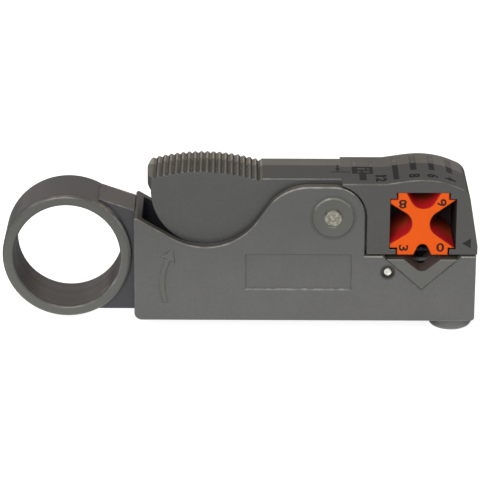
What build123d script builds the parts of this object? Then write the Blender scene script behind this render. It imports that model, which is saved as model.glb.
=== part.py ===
from build123d import *
import os
from math import cos, hypot, radians, sin, tan

# A coaxial cable stripper: a moulded body with a finger ring, a sprung thumb lever that carries
# the upper jaw and its reversible V-block cassette, and a lower cartridge with three blades.
# Millimetres. X runs from the finger ring to the jaws, Y from the front to the back, and Z up.
# Heights are taken from the underside of the body, and the tool is lifted at the end so that
# its lowest piece, the knob of the stored key, stands on the bench.

# Lengths along the tool, from the end wall to the nose
end_to_belly = 15.9
belly_to_pivot = 26.1
pivot_to_cassette = 18.9
nose_wall = 4.55

# Body
body_depth = 18.0
deck_height = 14.75
end_wall_rise = 8.65
side_wall = 2.05
end_wall = 1.7
end_wall_round = 0.5
floor_wall = 2.0
edge_round = 0.45
toe_round = 1.6
nose_round = 0.8
well_past_pivot = 3.3
well_round = 1.2

# Thumb cut-out in the side walls
scoop_past_belly = 2.9
scoop_below_deck = 2.4
scoop_round = 13.4
shoulder_before_pivot = 10.5
shoulder_round = 10.5

# Pivot
pivot_rise = 8.65
pin_radius = 2.04
pin_stand = 0.35
pin_fit = 0.02
hinge_fit = 0.05
ear_radius = 6.75
ear_gap = 0.3
boss_radius = 4.4
boss_rise = 0.35
boss_chamfer = 0.2
hub_radius = 6.0

# Finger ring and its web
ring_hole_radius = 11.3
ring_band = 2.4
ring_width = 14.0
ring_gap = 0.55
ring_outer_round = 0.9
ring_inner_round = 0.7
web_width = 10.4
web_bottom = 1.25
web_slope = 19.0

# Marks moulded on the front of the body
panel_length = 22.4
panel_height = 7.9
panel_depth = 0.35
panel_past_belly = 7.7
panel_bottom = 7.15
arrow_rise = 0.3
arrow_before_belly = 9.3
arrow_bottom = 4.25
arrow_shaft_length = 9.6
arrow_shaft_width = 1.05
arrow_shaft_shift = 0.6
arrow_bow = 0.9
arrow_head_lean = 25.0
arrow_head_length = 2.6
arrow_head_width = 3.1

# Cassette, with its grooves as depth, bottom radius and half angle: up, left, down and right
grooves = (
    (3.55, 2.7, 29.5),
    (4.6, 2.85, 33.0),
    (2.4, 1.25, 25.0),
    (5.45, 3.0, 36.0),
)
cassette_web = 3.75
cassette_corner = 1.55
cassette_fit = 0.1
cassette_back_wall = 2.0
cassette_recess = 0.2

# Upper jaw
jaw_clearance = 0.35
jaw_roof = 2.3
jaw_past_pivot = 1.75
jaw_top_drop = 0.3
jaw_crest_rise = 0.95
jaw_rise_before_crest = 8.2
jaw_rise_slope = 0.14
jaw_shoulder_past_crest = 6.4
jaw_shoulder_drop = 0.35
jaw_shoulder_slope = 0.42
jaw_foot = 1.9
jaw_nose_lean = 8.7
jaw_nose_round = 3.3
jaw_overhang = 0.2
jaw_edge_round = 0.35
cable_exit = (5.2, 3.9, 10.0)

# Thumb lever, with its belly and its crown of ribs as circles about centres below its top
lever_gap = 0.3
lever_thickness = 9.8
belly_radius = 12.3
belly_centre_drop = 2.7
lever_end_gap = 1.05
lever_end_lean = 4.5
lever_end_crown = 0.95
lever_end_round = 0.8
crown_radius = 39.05
crown_before_belly = 1.35
crown_centre_drop = 37.85
rib_count = 18
rib_pitch = 1.9
rib_first = -14.9
rib_height = 0.52
rib_crest_round = 0.22

# Blade cartridge, with its channel as depth, bottom radius and half angle
cartridge_drop = 0.7
cartridge_half_width = 7.5
cartridge_depth = 6.8
cartridge_fit = 0.1
cartridge_recess = 0.05
channel = (2.7, 1.4, 51.5)
lug_width = 9.0
lug_reach = 2.1
lug_height = 2.6
cable_layers = ("core", "braid", "jacket")
strip_lengths = (4.0, 8.0, 12.0)
cut_heights = (2.6, 1.7, 0.9)
blade_width = 4.2
blade_thickness = 0.5
blade_fit = 0.1
blade_foot_depth = 1.8
blade_bevel = 0.6

# Blade adjusting screws
screw_radius = 1.5
screw_recess = 0.8
screw_below_cartridge = 1.1
screw_point_radius = 0.9
screw_fit = 0.05
screw_gap = 0.05
socket_across_flats = 1.5
socket_depth = 1.6

# Cross pin that holds the cartridge
cross_pin_radius = 0.96
cross_pin_below_deck = 3.6
cross_pin_from_cartridge = 7.2
cross_pin_mouth_radius = 1.35
cross_pin_mouth_depth = 0.7
cross_pin_end_gap = 0.25
cross_pin_end_taper = 0.2

# Stored hex key
key_from_nose = 4.55
key_across_flats = 1.45
key_length = 9.4
key_seat_depth = 2.6
key_bore_radius = 1.0
key_bore_spare = 0.6
knob_radius = 4.75
knob_height = 4.0
knob_gap = 0.1
knob_round = 1.6
knob_top_chamfer = 0.3

# Return spring
spring_radius = 2.85
spring_wire_radius = 0.35
spring_turn_count = 6
wire_flat_count = 6
spring_before_pivot = 9.2
spring_gap = 0.05
spigot_radius = 2.2
spigot_height = 1.6

# How far a cut passes the surface that it opens, and how far joined shapes run into each other
overcut = 1.0
overlap = 1.5

# Sizes that follow from those above
cassette_size = grooves[1][0] + cassette_web + grooves[3][0]
pocket_size = cassette_size + 2 * cassette_fit
cassette_from_nose = cassette_size / 2 + nose_wall
body_length = end_to_belly + belly_to_pivot + pivot_to_cassette + cassette_from_nose
ring_outer_radius = ring_hole_radius + ring_band
total_length = 2 * ring_outer_radius + ring_gap + body_length + jaw_overhang
well_width = body_depth - 2 * side_wall
lever_width = well_width - 2 * lever_gap

# Places along the tool
ring_x = ring_outer_radius - total_length / 2
body_left = ring_x + ring_outer_radius + ring_gap
body_right = body_left + body_length
belly_x = body_left + end_to_belly
pivot_x = belly_x + belly_to_pivot
cassette_x = pivot_x + pivot_to_cassette
ear_right = pivot_x + ear_radius
jaw_start = pivot_x + jaw_past_pivot
jaw_left = ear_right + ear_gap
well_left = body_left + end_wall
well_right = pivot_x + well_past_pivot
cross_pin_x = cassette_x - cross_pin_from_cartridge
spring_x = pivot_x - spring_before_pivot
key_x = body_right - key_from_nose
front = -body_depth / 2
back = body_depth / 2
pocket_back = back - cassette_back_wall

# Heights
ring_z = ring_outer_radius
end_wall_height = deck_height + end_wall_rise
pivot_height = deck_height + pivot_rise
ear_top = pivot_height + ear_radius
jaw_bottom = deck_height + jaw_clearance
cassette_z = jaw_bottom + cassette_size / 2
lever_top = jaw_bottom + cassette_size + jaw_roof
jaw_top = lever_top - jaw_top_drop
lever_underside = lever_top - lever_thickness
belly_centre_height = lever_top - belly_centre_drop
cartridge_top = deck_height - cartridge_drop
cartridge_apex = cartridge_top - cartridge_depth
channel_bottom = cartridge_top - channel[0]
blade_foot = channel_bottom - blade_foot_depth
cross_pin_height = deck_height - cross_pin_below_deck
key_foot = -knob_gap - key_seat_depth
above_all = ear_top + lever_top
bench = Pos(0, 0, knob_height + knob_gap)


def across(sketch, width, middle=0.0):
    """Extrude a side-view sketch to the front and the back of the plane at middle."""
    return Pos(0, middle, 0) * extrude(Plane.XZ * sketch, width / 2, both=True)


def box_between(low, high):
    """A block from its lowest to its highest corner."""
    size = [top - bottom for bottom, top in zip(low, high)]
    return Pos(*low) * Box(*size, align=Align.MIN)


def rod_y(radius, length, x, z, middle=0.0):
    """A round rod along Y."""
    return across(Pos(x, z) * Circle(radius), length, middle)


def rod_z(radius, length, x, y, bottom):
    """A round rod that stands on bottom."""
    return Pos(x, y, bottom) * Cylinder(radius, length, align=(Align.CENTER, Align.CENTER, Align.MIN))


def hex_z(across_flats, length, x, y, bottom):
    """A hexagonal bar that stands on bottom."""
    section = RegularPolygon(across_flats / 2, 6, major_radius=False)
    return Pos(x, y, bottom) * extrude(section, length)


def round_corner(sketch, point, radius):
    """Round the corner of a sketch that lies nearest to a point."""
    corner = sketch.vertices().sort_by_distance(Vector(*point))[0]
    return fillet(corner, radius)


def body_outline():
    """Side view of the body: end wall, thumb cut-out, pivot ear and deck."""
    scoop = (belly_x + scoop_past_belly, deck_height - scoop_below_deck)
    shoulder = (pivot_x - shoulder_before_pivot, ear_top)
    ear_corner = (ear_right, ear_top)
    outline = Polygon(
        (body_left, 0),
        (body_right, 0),
        (body_right, deck_height),
        (ear_right, deck_height),
        ear_corner,
        shoulder,
        scoop,
        (body_left, end_wall_height),
    )
    outline = round_corner(outline, scoop, scoop_round)
    outline = round_corner(outline, shoulder, shoulder_round)
    outline = round_corner(outline, ear_corner, ear_radius)
    outline = round_corner(outline, (body_left, 0), toe_round)
    outline = round_corner(outline, (body_right, 0), nose_round)
    return round_corner(outline, (body_left, end_wall_height), end_wall_round)


def body_shell():
    """The housing: an outline with softened edges, hollowed from above for the lever."""
    shell = across(body_outline(), body_depth)
    sides = shell.faces().sort_by(Axis.Y)
    shell = fillet(sides[0].edges() + sides[-1].edges(), edge_round)
    well = box_between(
        (well_left, -well_width / 2, floor_wall),
        (well_right, well_width / 2, above_all),
    )
    well = fillet(well.edges().filter_by(Axis.Z), well_round)
    neck_way = box_between(
        (well_right - 2 * well_round, -well_width / 2, deck_height),
        (ear_right + overcut, well_width / 2, above_all),
    )
    return shell - well - neck_way


def finger_ring():
    """The ring for the finger, revolved from a section with softened corners."""
    section = Pos(ring_hole_radius + ring_band / 2, 0) * Rectangle(ring_band, ring_width)
    section = fillet(section.vertices().group_by(Axis.X)[-1], ring_outer_round)
    section = fillet(section.vertices().group_by(Axis.X)[0], ring_inner_round)
    return Pos(ring_x, 0, ring_z) * revolve(section, Axis.Y)


def ring_web():
    """The narrower web between the ring and the end wall."""
    run = body_left - ring_x - ring_outer_radius / 2
    rise = run * tan(radians(web_slope))
    web = Polygon(
        (ring_x, web_bottom),
        (body_left + end_wall / 2, web_bottom),
        (body_left + end_wall / 2, end_wall_height - end_wall),
        (body_left, end_wall_height),
        (body_left - run, end_wall_height + rise),
        (ring_x, ring_z),
    )
    inside_band = ring_hole_radius + ring_band / 2
    return across(web, web_width) - rod_y(inside_band, ring_width, ring_x, ring_z)


def turning_arrow():
    """A raised arrow that bows away from the jaws and points up towards them."""
    foot = Vector(belly_x - arrow_before_belly, arrow_bottom)
    neck = foot + Vector(arrow_shaft_shift, arrow_shaft_length)
    middle = (foot + neck) / 2 - Vector(arrow_bow, 0)
    side = Vector(arrow_shaft_width / 2, 0)
    shaft = make_face(
        Curve() + [
            Line(foot - side, foot + side),
            ThreePointArc(foot + side, middle + side, neck + side),
            Line(neck + side, neck - side),
            ThreePointArc(neck - side, middle - side, foot - side),
        ]
    )
    half = arrow_head_width / 2
    head = Polygon((-half, 0), (half, 0), (0, arrow_head_length), align=None)
    head = Pos(neck.X, neck.Y) * Rot(0, 0, -arrow_head_lean) * head
    return across(shaft + head, 2 * arrow_rise, front)


def cartridge_profile(grow):
    """The V of the cartridge, grown by a clearance and carried up past the deck."""
    slope = cartridge_depth / cartridge_half_width
    apex = cartridge_apex - grow * (1 + slope**2) ** 0.5
    top = deck_height + overcut
    reach = (top - apex) / slope
    return Polygon((cassette_x, apex), (cassette_x + reach, top), (cassette_x - reach, top))


def lug_block(grow):
    """The lug on the cartridge's flank that the cross pin goes through."""
    low = cross_pin_height - lug_height / 2 - grow
    return box_between(
        (cross_pin_x - lug_reach - grow, -lug_width / 2 - grow, low),
        (cassette_x, lug_width / 2 + grow, low + lug_height + 2 * grow),
    )


def blade_places():
    """Depth of each blade, from the end of the cable at the tool's back face."""
    return [back - length for length in strip_lengths]


def make_body():
    """The one-piece moulding: housing, ring, web, seats and bores."""
    body = body_shell() + finger_ring() + ring_web() + turning_arrow()
    for face in (front, back):
        boss = rod_y(boss_radius, 2 * boss_rise, pivot_x, pivot_height, face)
        body = body + chamfer(boss.edges().filter_by(GeomType.CIRCLE), boss_chamfer)
    panel_left = belly_x + panel_past_belly
    body = body - box_between(
        (panel_left, front - overcut, panel_bottom),
        (panel_left + panel_length, front + panel_depth, panel_bottom + panel_height),
    )
    through = body_depth + 2 * overcut
    body = body - rod_y(pin_radius + pin_fit, through, pivot_x, pivot_height)
    body = body - across(cartridge_profile(cartridge_fit), through)
    lug_pocket = lug_block(cartridge_fit)
    body = body - lug_pocket - Pos(0, 0, lug_height) * lug_pocket
    body = body - rod_y(cross_pin_radius + pin_fit, through, cross_pin_x, cross_pin_height)
    for face in (front, back):
        mouth = 2 * cross_pin_mouth_depth
        body = body - rod_y(cross_pin_mouth_radius, mouth, cross_pin_x, cross_pin_height, face)
    for y in blade_places():
        body = body - rod_z(screw_radius + screw_fit, deck_height, cassette_x, y, -overcut)
    key_room = key_length + key_bore_spare
    body = body - rod_z(key_bore_radius, key_room + overcut, key_x, 0, -overcut)
    return body + rod_z(spigot_radius, spigot_height + floor_wall / 2, spring_x, 0, floor_wall / 2)


def rib_crown():
    """Side view of the ribbed thumb pad, as crests and valleys on two arcs."""
    centre_x = belly_x - crown_before_belly
    centre_z = lever_top - crown_centre_drop
    crest_radius = crown_radius + rib_height
    points = []
    for number in range(rib_count):
        crest = radians(rib_first + (number - 0.5) * rib_pitch)
        valley = radians(rib_first + number * rib_pitch)
        points.append((centre_x + crest_radius * sin(crest), centre_z + crest_radius * cos(crest)))
        points.append((centre_x + crown_radius * sin(valley), centre_z + crown_radius * cos(valley)))
    past_the_ribs = radians(rib_first + (rib_count - 0.5) * rib_pitch)
    step = (centre_x + crest_radius * sin(past_the_ribs), lever_top)
    neck_end = jaw_left + overlap
    crown = Polygon(
        (body_left, 0),
        (neck_end, 0),
        (neck_end, jaw_top),
        (jaw_start, jaw_top),
        (jaw_start, lever_top),
        step,
        *reversed(points),
        (body_left, points[0][1] - rib_height),
    )
    for crest in points[0::2]:
        crown = round_corner(crown, crest, rib_crest_round)
    return crown


def lever_side_view():
    """The lever between the side walls: belly, flat back, hub and neck, under the ribs."""
    belly = Pos(belly_x, belly_centre_height) * Circle(belly_radius)
    back = Polygon(
        (belly_x, lever_underside),
        (pivot_x, lever_underside),
        (pivot_x, above_all),
        (belly_x, above_all),
    )
    neck = Polygon(
        (pivot_x, pivot_height - hub_radius),
        (jaw_left, jaw_bottom),
        (jaw_left + overlap, jaw_bottom),
        (jaw_left + overlap, above_all),
        (pivot_x, above_all),
    )
    hub = Pos(pivot_x, pivot_height) * Circle(hub_radius)
    return (belly + lever_end() + back + neck + hub) & rib_crown()


def lever_end():
    """Side view of the lever's end, which leans outward above the widest part of the belly."""
    end_x = well_left + lever_end_gap
    reach = above_all - belly_centre_height
    outward = reach * tan(radians(lever_end_lean))
    return Polygon(
        (belly_x, belly_centre_height),
        (belly_x, above_all),
        (end_x - outward, above_all),
        (end_x, belly_centre_height),
    )


def jaw_side_view():
    """The upper jaw: a low crest on top and a nose that leans back from its foot."""
    foot_x = body_right + jaw_overhang
    lean = tan(radians(jaw_nose_lean))
    start = (jaw_start, jaw_top)
    rise = (cassette_x - jaw_rise_before_crest, jaw_top)
    crest = (cassette_x, jaw_top + jaw_crest_rise)
    shoulder = (cassette_x + jaw_shoulder_past_crest, jaw_top - jaw_shoulder_drop)
    foot_top = jaw_bottom + jaw_foot
    shoulder_x = foot_x - lean * (shoulder[1] - foot_top)
    brow = (shoulder_x, shoulder[1] - jaw_shoulder_slope * (shoulder_x - shoulder[0]))
    outline = make_face(
        Curve() + [
            Line(start, rise),
            Spline(rise, crest, shoulder, tangents=((1, jaw_rise_slope), (1, -jaw_shoulder_slope))),
            Line(shoulder, brow),
            Line(brow, (foot_x, foot_top)),
            Line((foot_x, foot_top), (foot_x, jaw_bottom)),
            Line((foot_x, jaw_bottom), (start[0], jaw_bottom)),
            Line((start[0], jaw_bottom), start),
        ]
    )
    outline = round_corner(outline, brow, jaw_nose_round)
    ear_room = Pos(pivot_x, pivot_height) * Circle(ear_radius + ear_gap)
    below_ear = Polygon(
        (pivot_x, pivot_height),
        (pivot_x, jaw_bottom - overcut),
        (jaw_left, jaw_bottom - overcut),
        (jaw_left, pivot_height),
    )
    return outline - ear_room - below_ear


def groove(depth, radius, half_angle):
    """A cable groove with a round bottom, cut down into an edge that lies at zero."""
    angle = radians(half_angle)
    mouth = (depth - radius) * tan(angle) + radius / cos(angle)
    wide = mouth + overcut * tan(angle)
    tangent = (radius * cos(angle), radius - depth - radius * sin(angle))
    flanks = Polygon(
        (-wide, overcut),
        (-tangent[0], tangent[1]),
        (tangent[0], tangent[1]),
        (wide, overcut),
    )
    return flanks + Pos(0, radius - depth) * Circle(radius)


def cassette_square(size, corner):
    """A square with a smaller square taken out of each corner."""
    square = Rectangle(size, size)
    for x in (-1, 1):
        for y in (-1, 1):
            reach = size / 2 - corner / 2
            square = square - Pos(x * reach, y * reach) * Rectangle(corner, corner)
    return Pos(cassette_x, cassette_z) * square


def lever_plan():
    """Plan of the lever between the side walls, with its end crowned and its corners rounded."""
    end_x = well_left + lever_end_gap
    side = lever_width / 2
    corner_x = end_x + lever_end_crown
    inside_jaw = jaw_left + overlap
    plan = make_face(
        Curve() + [
            ThreePointArc((corner_x, side), (end_x, 0), (corner_x, -side)),
            Line((corner_x, -side), (inside_jaw, -side)),
            Line((inside_jaw, -side), (inside_jaw, side)),
            Line((inside_jaw, side), (corner_x, side)),
        ]
    )
    plan = round_corner(plan, (corner_x, side), lever_end_round)
    return round_corner(plan, (corner_x, -side), lever_end_round)


def make_thumb_lever():
    """Thumb pad, hub and upper jaw in one moulding."""
    pad = across(lever_side_view(), lever_width) & extrude(lever_plan(), above_all)
    jaw = across(jaw_side_view(), body_depth)
    sides = jaw.faces().sort_by(Axis.Y)
    jaw = fillet(sides[0].edges() + sides[-1].edges(), jaw_edge_round)
    pocket = cassette_square(pocket_size, cassette_corner - 2 * cassette_fit)
    pocket_length = pocket_back - front + overcut
    lever = pad + jaw - across(pocket, pocket_length, pocket_back - pocket_length / 2)
    way_out = Pos(cassette_x, jaw_bottom) * Rot(0, 0, 180) * groove(*cable_exit)
    lever = lever - across(way_out, 2 * (cassette_back_wall + overcut), back)
    lever = lever - rod_y(pin_radius + hinge_fit, body_depth, pivot_x, pivot_height)
    spigot_bottom = lever_underside - spigot_height
    return lever + rod_z(spigot_radius, spigot_height + overlap, spring_x, 0, spigot_bottom)


def make_pivot_pin():
    """The steel pin that the lever turns on, with tapered ends that stand out of the bosses."""
    length = body_depth + 2 * (boss_rise + pin_stand)
    pin = rod_y(pin_radius, length, pivot_x, pivot_height)
    return chamfer(pin.edges().filter_by(GeomType.CIRCLE), pin_stand)


def make_cassette():
    """The reversible block with one cable groove in each side."""
    block = cassette_square(cassette_size, cassette_corner)
    half = cassette_size / 2
    for turn, (depth, radius, half_angle) in enumerate(grooves):
        cut = Pos(0, half) * groove(depth, radius, half_angle)
        block = block - Pos(cassette_x, cassette_z) * Rot(0, 0, 90 * turn) * cut
    length = pocket_back - cassette_fit - front - cassette_recess
    return across(block, length, front + cassette_recess + length / 2)


def make_cartridge():
    """The V-shaped blade holder with its channel, blade slots, screw holes and lug."""
    section = Polygon(
        (cassette_x, cartridge_apex),
        (cassette_x + cartridge_half_width, cartridge_top),
        (cassette_x - cartridge_half_width, cartridge_top),
    )
    section = section - Pos(cassette_x, cartridge_top) * groove(*channel)
    cartridge = across(section, body_depth - 2 * cartridge_recess) + lug_left_of_channel()
    for y in blade_places():
        slot_half_x = blade_width / 2 + blade_fit
        slot_half_y = blade_thickness / 2 + blade_fit
        cartridge = cartridge - box_between(
            (cassette_x - slot_half_x, y - slot_half_y, blade_foot - blade_fit),
            (cassette_x + slot_half_x, y + slot_half_y, deck_height),
        )
        point_hole = screw_point_radius + blade_fit
        cartridge = cartridge - rod_z(point_hole, deck_height, cassette_x, y, 0)
    return cartridge - rod_y(cross_pin_radius + pin_fit, body_depth, cross_pin_x, cross_pin_height)


def lug_left_of_channel():
    """The lug, ended inside the cartridge's left flank so that it stays out of the channel."""
    lug = lug_block(0)
    room = box_between(
        (cassette_x - cartridge_half_width / 2, -lug_width, 0),
        (cassette_x + overcut, lug_width, deck_height),
    )
    return lug - room


def make_blade(y, cut_height):
    """A flat blade across the channel, ground to an edge on top."""
    side = blade_thickness / 2
    edge = channel_bottom + cut_height
    section = Polygon(
        (-side, blade_foot),
        (side, blade_foot),
        (side, edge - blade_bevel),
        (0, edge),
        (-side, edge - blade_bevel),
    )
    return Pos(cassette_x, y, 0) * extrude(Plane.YZ * section, blade_width / 2, both=True)


def make_blade_screw(y):
    """A set screw with a point that reaches the foot of its blade."""
    shank_length = cartridge_apex - screw_below_cartridge - screw_recess
    shank = rod_z(screw_radius, shank_length, cassette_x, y, screw_recess)
    to_blade = blade_foot - screw_gap - screw_recess
    point = rod_z(screw_point_radius, to_blade, cassette_x, y, screw_recess)
    socket = hex_z(socket_across_flats, socket_depth + overcut, cassette_x, y, screw_recess - overcut)
    return shank + point - socket


def make_cross_pin():
    """The pin with tapered ends through the body and the cartridge's lug."""
    length = body_depth - 2 * cross_pin_end_gap
    pin = rod_y(cross_pin_radius, length, cross_pin_x, cross_pin_height)
    return chamfer(pin.edges().filter_by(GeomType.CIRCLE), cross_pin_end_taper)


def make_key_knob():
    """The round grip of the stored key, with a socket for its steel."""
    bottom = -knob_gap - knob_height
    knob = rod_z(knob_radius, knob_height, key_x, 0, bottom)
    rims = knob.edges().filter_by(GeomType.CIRCLE).sort_by(Axis.Z)
    knob = fillet(rims[0], knob_round)
    knob = chamfer(knob.edges().filter_by(GeomType.CIRCLE).sort_by(Axis.Z)[-1], knob_top_chamfer)
    seat = hex_z(key_across_flats + 2 * pin_fit, knob_height, key_x, 0, key_foot - pin_fit)
    return knob - seat


def make_hex_key():
    """The hexagonal steel of the stored key."""
    return hex_z(key_across_flats, key_length - key_foot, key_x, 0, key_foot)


def make_return_spring():
    """The coil spring between the floor of the well and the underside of the lever."""
    bottom = floor_wall + spring_gap + spring_wire_radius
    height = lever_underside - spring_gap - spring_wire_radius - bottom
    step = height / (2 * spring_turn_count)
    bow = hypot(spring_radius, step / 2)
    half_turns = []
    for number in range(2 * spring_turn_count):
        side = spring_radius * (-1) ** number
        low = number * step
        middle = (0, bow * (-1) ** number, low + step / 2)
        half_turns.append(ThreePointArc((side, 0, low), middle, (-side, 0, low + step)))
    wire = Plane((spring_radius, 0, 0), z_dir=(0, 1, 0)) * RegularPolygon(spring_wire_radius, wire_flat_count)
    return Pos(spring_x, 0, bottom) * sweep(wire, path=(Curve() + half_turns).wire())


def pieces():
    """Every piece of the tool by its node name."""
    made = {
        "body": make_body(),
        "thumb_lever": make_thumb_lever(),
        "pivot_pin": make_pivot_pin(),
        "return_spring": make_return_spring(),
        "v_block_cassette": make_cassette(),
        "blade_cartridge": make_cartridge(),
        "cross_pin": make_cross_pin(),
        "hex_key": make_hex_key(),
        "key_knob": make_key_knob(),
    }
    for layer, y, cut_height in zip(cable_layers, blade_places(), cut_heights):
        made[layer + "_blade"] = make_blade(y, cut_height)
        made[layer + "_screw"] = make_blade_screw(y)
    return made


os.makedirs("parts", exist_ok=True)
for name, piece in pieces().items():
    export_step(bench * piece, "parts/" + name + ".step")
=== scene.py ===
"""Looks for a coaxial cable stripper: plastics, steels, printed marks, and a pale studio."""

import math

import bmesh
import bpy
from bpy.props import FloatProperty, FloatVectorProperty, IntProperty, PointerProperty
from mathutils import Matrix, Quaternion, Vector
from mathutils.bvhtree import BVHTree


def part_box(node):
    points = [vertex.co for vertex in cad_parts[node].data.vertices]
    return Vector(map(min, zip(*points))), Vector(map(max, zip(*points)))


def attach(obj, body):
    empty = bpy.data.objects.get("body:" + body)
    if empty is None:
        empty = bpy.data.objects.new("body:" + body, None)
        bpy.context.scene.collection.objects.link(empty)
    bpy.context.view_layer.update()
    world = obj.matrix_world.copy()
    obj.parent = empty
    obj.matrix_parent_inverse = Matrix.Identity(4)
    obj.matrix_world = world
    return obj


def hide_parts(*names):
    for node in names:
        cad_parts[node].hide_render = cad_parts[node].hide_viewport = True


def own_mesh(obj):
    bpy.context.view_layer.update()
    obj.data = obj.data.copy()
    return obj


bl_info = {
    "name": "Cable Stripper Finishes",
    "version": (1, 0, 0),
    "blender": (4, 5, 0),
    "location": "View3D > Sidebar > Stripper",
    "description": "Finishes, printed marks and studio for a coaxial cable stripper",
    "category": "Object",
}

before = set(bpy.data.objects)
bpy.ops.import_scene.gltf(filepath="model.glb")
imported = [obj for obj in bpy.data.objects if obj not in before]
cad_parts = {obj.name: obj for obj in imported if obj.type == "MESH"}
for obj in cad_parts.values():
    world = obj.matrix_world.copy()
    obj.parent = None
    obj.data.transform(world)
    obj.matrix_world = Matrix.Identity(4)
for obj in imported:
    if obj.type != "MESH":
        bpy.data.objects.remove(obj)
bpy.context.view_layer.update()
MM = 0.001

# Places on the body. A pair is X and Z, and a side is half a width along Y.
WELL_START = -20.7 * MM
WELL_STOP = 49 * MM
WELL_FLOOR = 5 * MM
WELL_SIDE = 7.0 * MM
WALL_SIDE = 6.9 * MM
# Along X, where the painted light on the side walls' tops grows
WALL_RISE = (2 * MM, 10 * MM)
WEB_END = -22.25 * MM
WEB_SIDE = 5.3 * MM
# The web's top and that top's edge, where painted light and a painted highlight go
WEB_TOP = (WEB_END - 10 * MM, WEB_END - 4 * MM)
WEB_EDGE = (4.3 * MM, 4.6 * MM)
RING_START = WEB_END - 0.6 * MM
# Where the painted edge highlights turn patchy on the ring
RING_PATCHES = (WEB_END - 4.5 * MM, WEB_END - 6.5 * MM)
RING_CENTRE = (-36.55 * MM, 17.8 * MM)
RING_BORE = 12 * MM
PIVOT = (19.7 * MM, 27.5 * MM)
# Reaches from the pivot of the boss's painted shadow and painted highlight
BOSS_FOOT = 4.7 * MM
BOSS_RIM = 4.2 * MM
RAISED_SIDE = 9.05 * MM
CROSS_PIN = (31.4 * MM, 15.25 * MM)
CARTRIDGE_TIP = (38.6 * MM, 11.25 * MM)
CARTRIDGE_SLOPE = 0.907

# Places on the lever
CROWN_CENTRE = (-7.75 * MM, -2.55 * MM)
CROWN_RADIUS = 39.05 * MM
RIBS_END = 4.75 * MM
RIBS_FOOT = 30 * MM
PAD_SIDE = 6.45 * MM
PAD_TOP = 35.15 * MM
PAD_END = 21.3 * MM
JAW_START = 22 * MM
JAW_BROWNING = (21 * MM, 28 * MM)
JAW_SHOULDER = (38 * MM, 30 * MM)
JAW_CREST = (38 * MM, 44 * MM)
# Along Y, where the painted sheen on the rear of the tops begins
TOP_SPLIT = (1.9 * MM, 2.4 * MM)

# Fineness of the noises, as waves in a metre
PATCH_SCALE = 110.0
FLOW_SCALE = 140.0
WEAR_SCALE = 450.0
STREAK_SCALE = 900.0
SPECKLE_SCALE = 1700.0
GRAIN_SCALE = 5200.0

# Painted highlights and shade along edges, coat and relief of the moulded plastics and the steels
EDGE_WIDTH = 0.36 * MM
EDGE_SAMPLES = 6
EDGE_SHADE = -0.62
EDGE_TINT = (0.91, 1.0, 1.03)
COAT = 0.4
COAT_ROUGHNESS = 0.2
SIDE_DULLNESS = 0.35
GRAIN_HEIGHT = 0.02 * MM
PIT_HEIGHT = 0.08 * MM

# Tints that more than one plastic or place has: a painted warm cast on faces that look up, a
# painted reflection of the orange cassette on the cartridge's tops, and a warm front
TOP_BROWN = (1.1, 0.98, 0.86, 1.0)
CARTRIDGE_TOP = (1.0, 0.85, 0.78, 1.0)
WARM_FRONT = (1.0, 1.01, 0.9)

PIVOT_PINS = ("pivot_pin",)
CROSS_PINS = ("cross_pin",)
BLADES = ("core_blade", "braid_blade", "jacket_blade")
BLACK_PARTS = ("core_screw", "braid_screw", "jacket_screw", "hex_key")

SPRING_STEPS = 24
# Strength of the painted sheen on the rear of the printed marks
INK_ON_REAR = 12.5

# Bars of the strip scale, by low and high corner in mm: strip lengths, blade stack, feed arrow
STRIP_BARS = (
    ((32.35, -6.9), (33.5, 7.2)),
    ((36.1, -2.1), (37.4, 7.0)),
    ((40.05, -1.95), (41.2, 7.0)),
    ((43.85, -1.2), (45.0, 6.8)),
    ((25.25, -6.3), (26.7, -2.18)),
    ((23.8, -2.15), (24.9, 7.0)),
    ((27.5, -2.15), (28.2, 7.0)),
    ((24.93, 1.5), (27.47, 2.2)),
    ((24.93, -0.5), (27.47, 0.3)),
    ((24.93, -2.15), (27.47, -1.6)),
    ((25.6, -1.57), (26.1, -0.53)),
    ((26.6, 0.33), (27.0, 1.47)),
    ((20.58, 0.3), (20.92, 2.6)),
    ((19.3, -2.25), (21.35, -1.95)),
    ((21.55, -1.35), (23.4, -1.05)),
)
# Strip lengths: number, X and Y in mm, and sideways stretch
SCALE_NUMBERS = (
    ("12", 29.8, -5.3, 1.5),
    ("8", 36.7, -5.85, 1.4),
    ("6", 40.6, -5.85, 1.4),
    ("4", 44.4, -5.1, 1.4),
)
# Numbers of the grooves: number, X and Z from the cassette's middle in mm, and turn in degrees
CASSETTE_NUMBERS = (
    ("8", -4.24, 4.42, 180.0),
    ("6", 3.95, 4.7, 115.0),
    ("3", -3.9, -5.38, -90.0),
    ("0", 3.85, -5.25, 0.0),
)

# Lamps: name, place, width and colour
FRONT_LAMP = ("front_box", (-0.15, -0.72, 0.45), 0.35, (1.0, 1.0, 1.0))
TOP_LAMP = ("top_box", (0.0, 0.1, 0.8), 0.5, (1.0, 0.88, 0.76))
LAMPS_AIM = Vector((0, 0, 0.02))
WORLD_STRENGTH = 0.35
FLOOR_WIDTH = 3.0
FLOOR_GREY = 0.8
FLOOR_GLOW = 0.85
SENSOR_WIDTH = 36.0


# Settings


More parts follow.
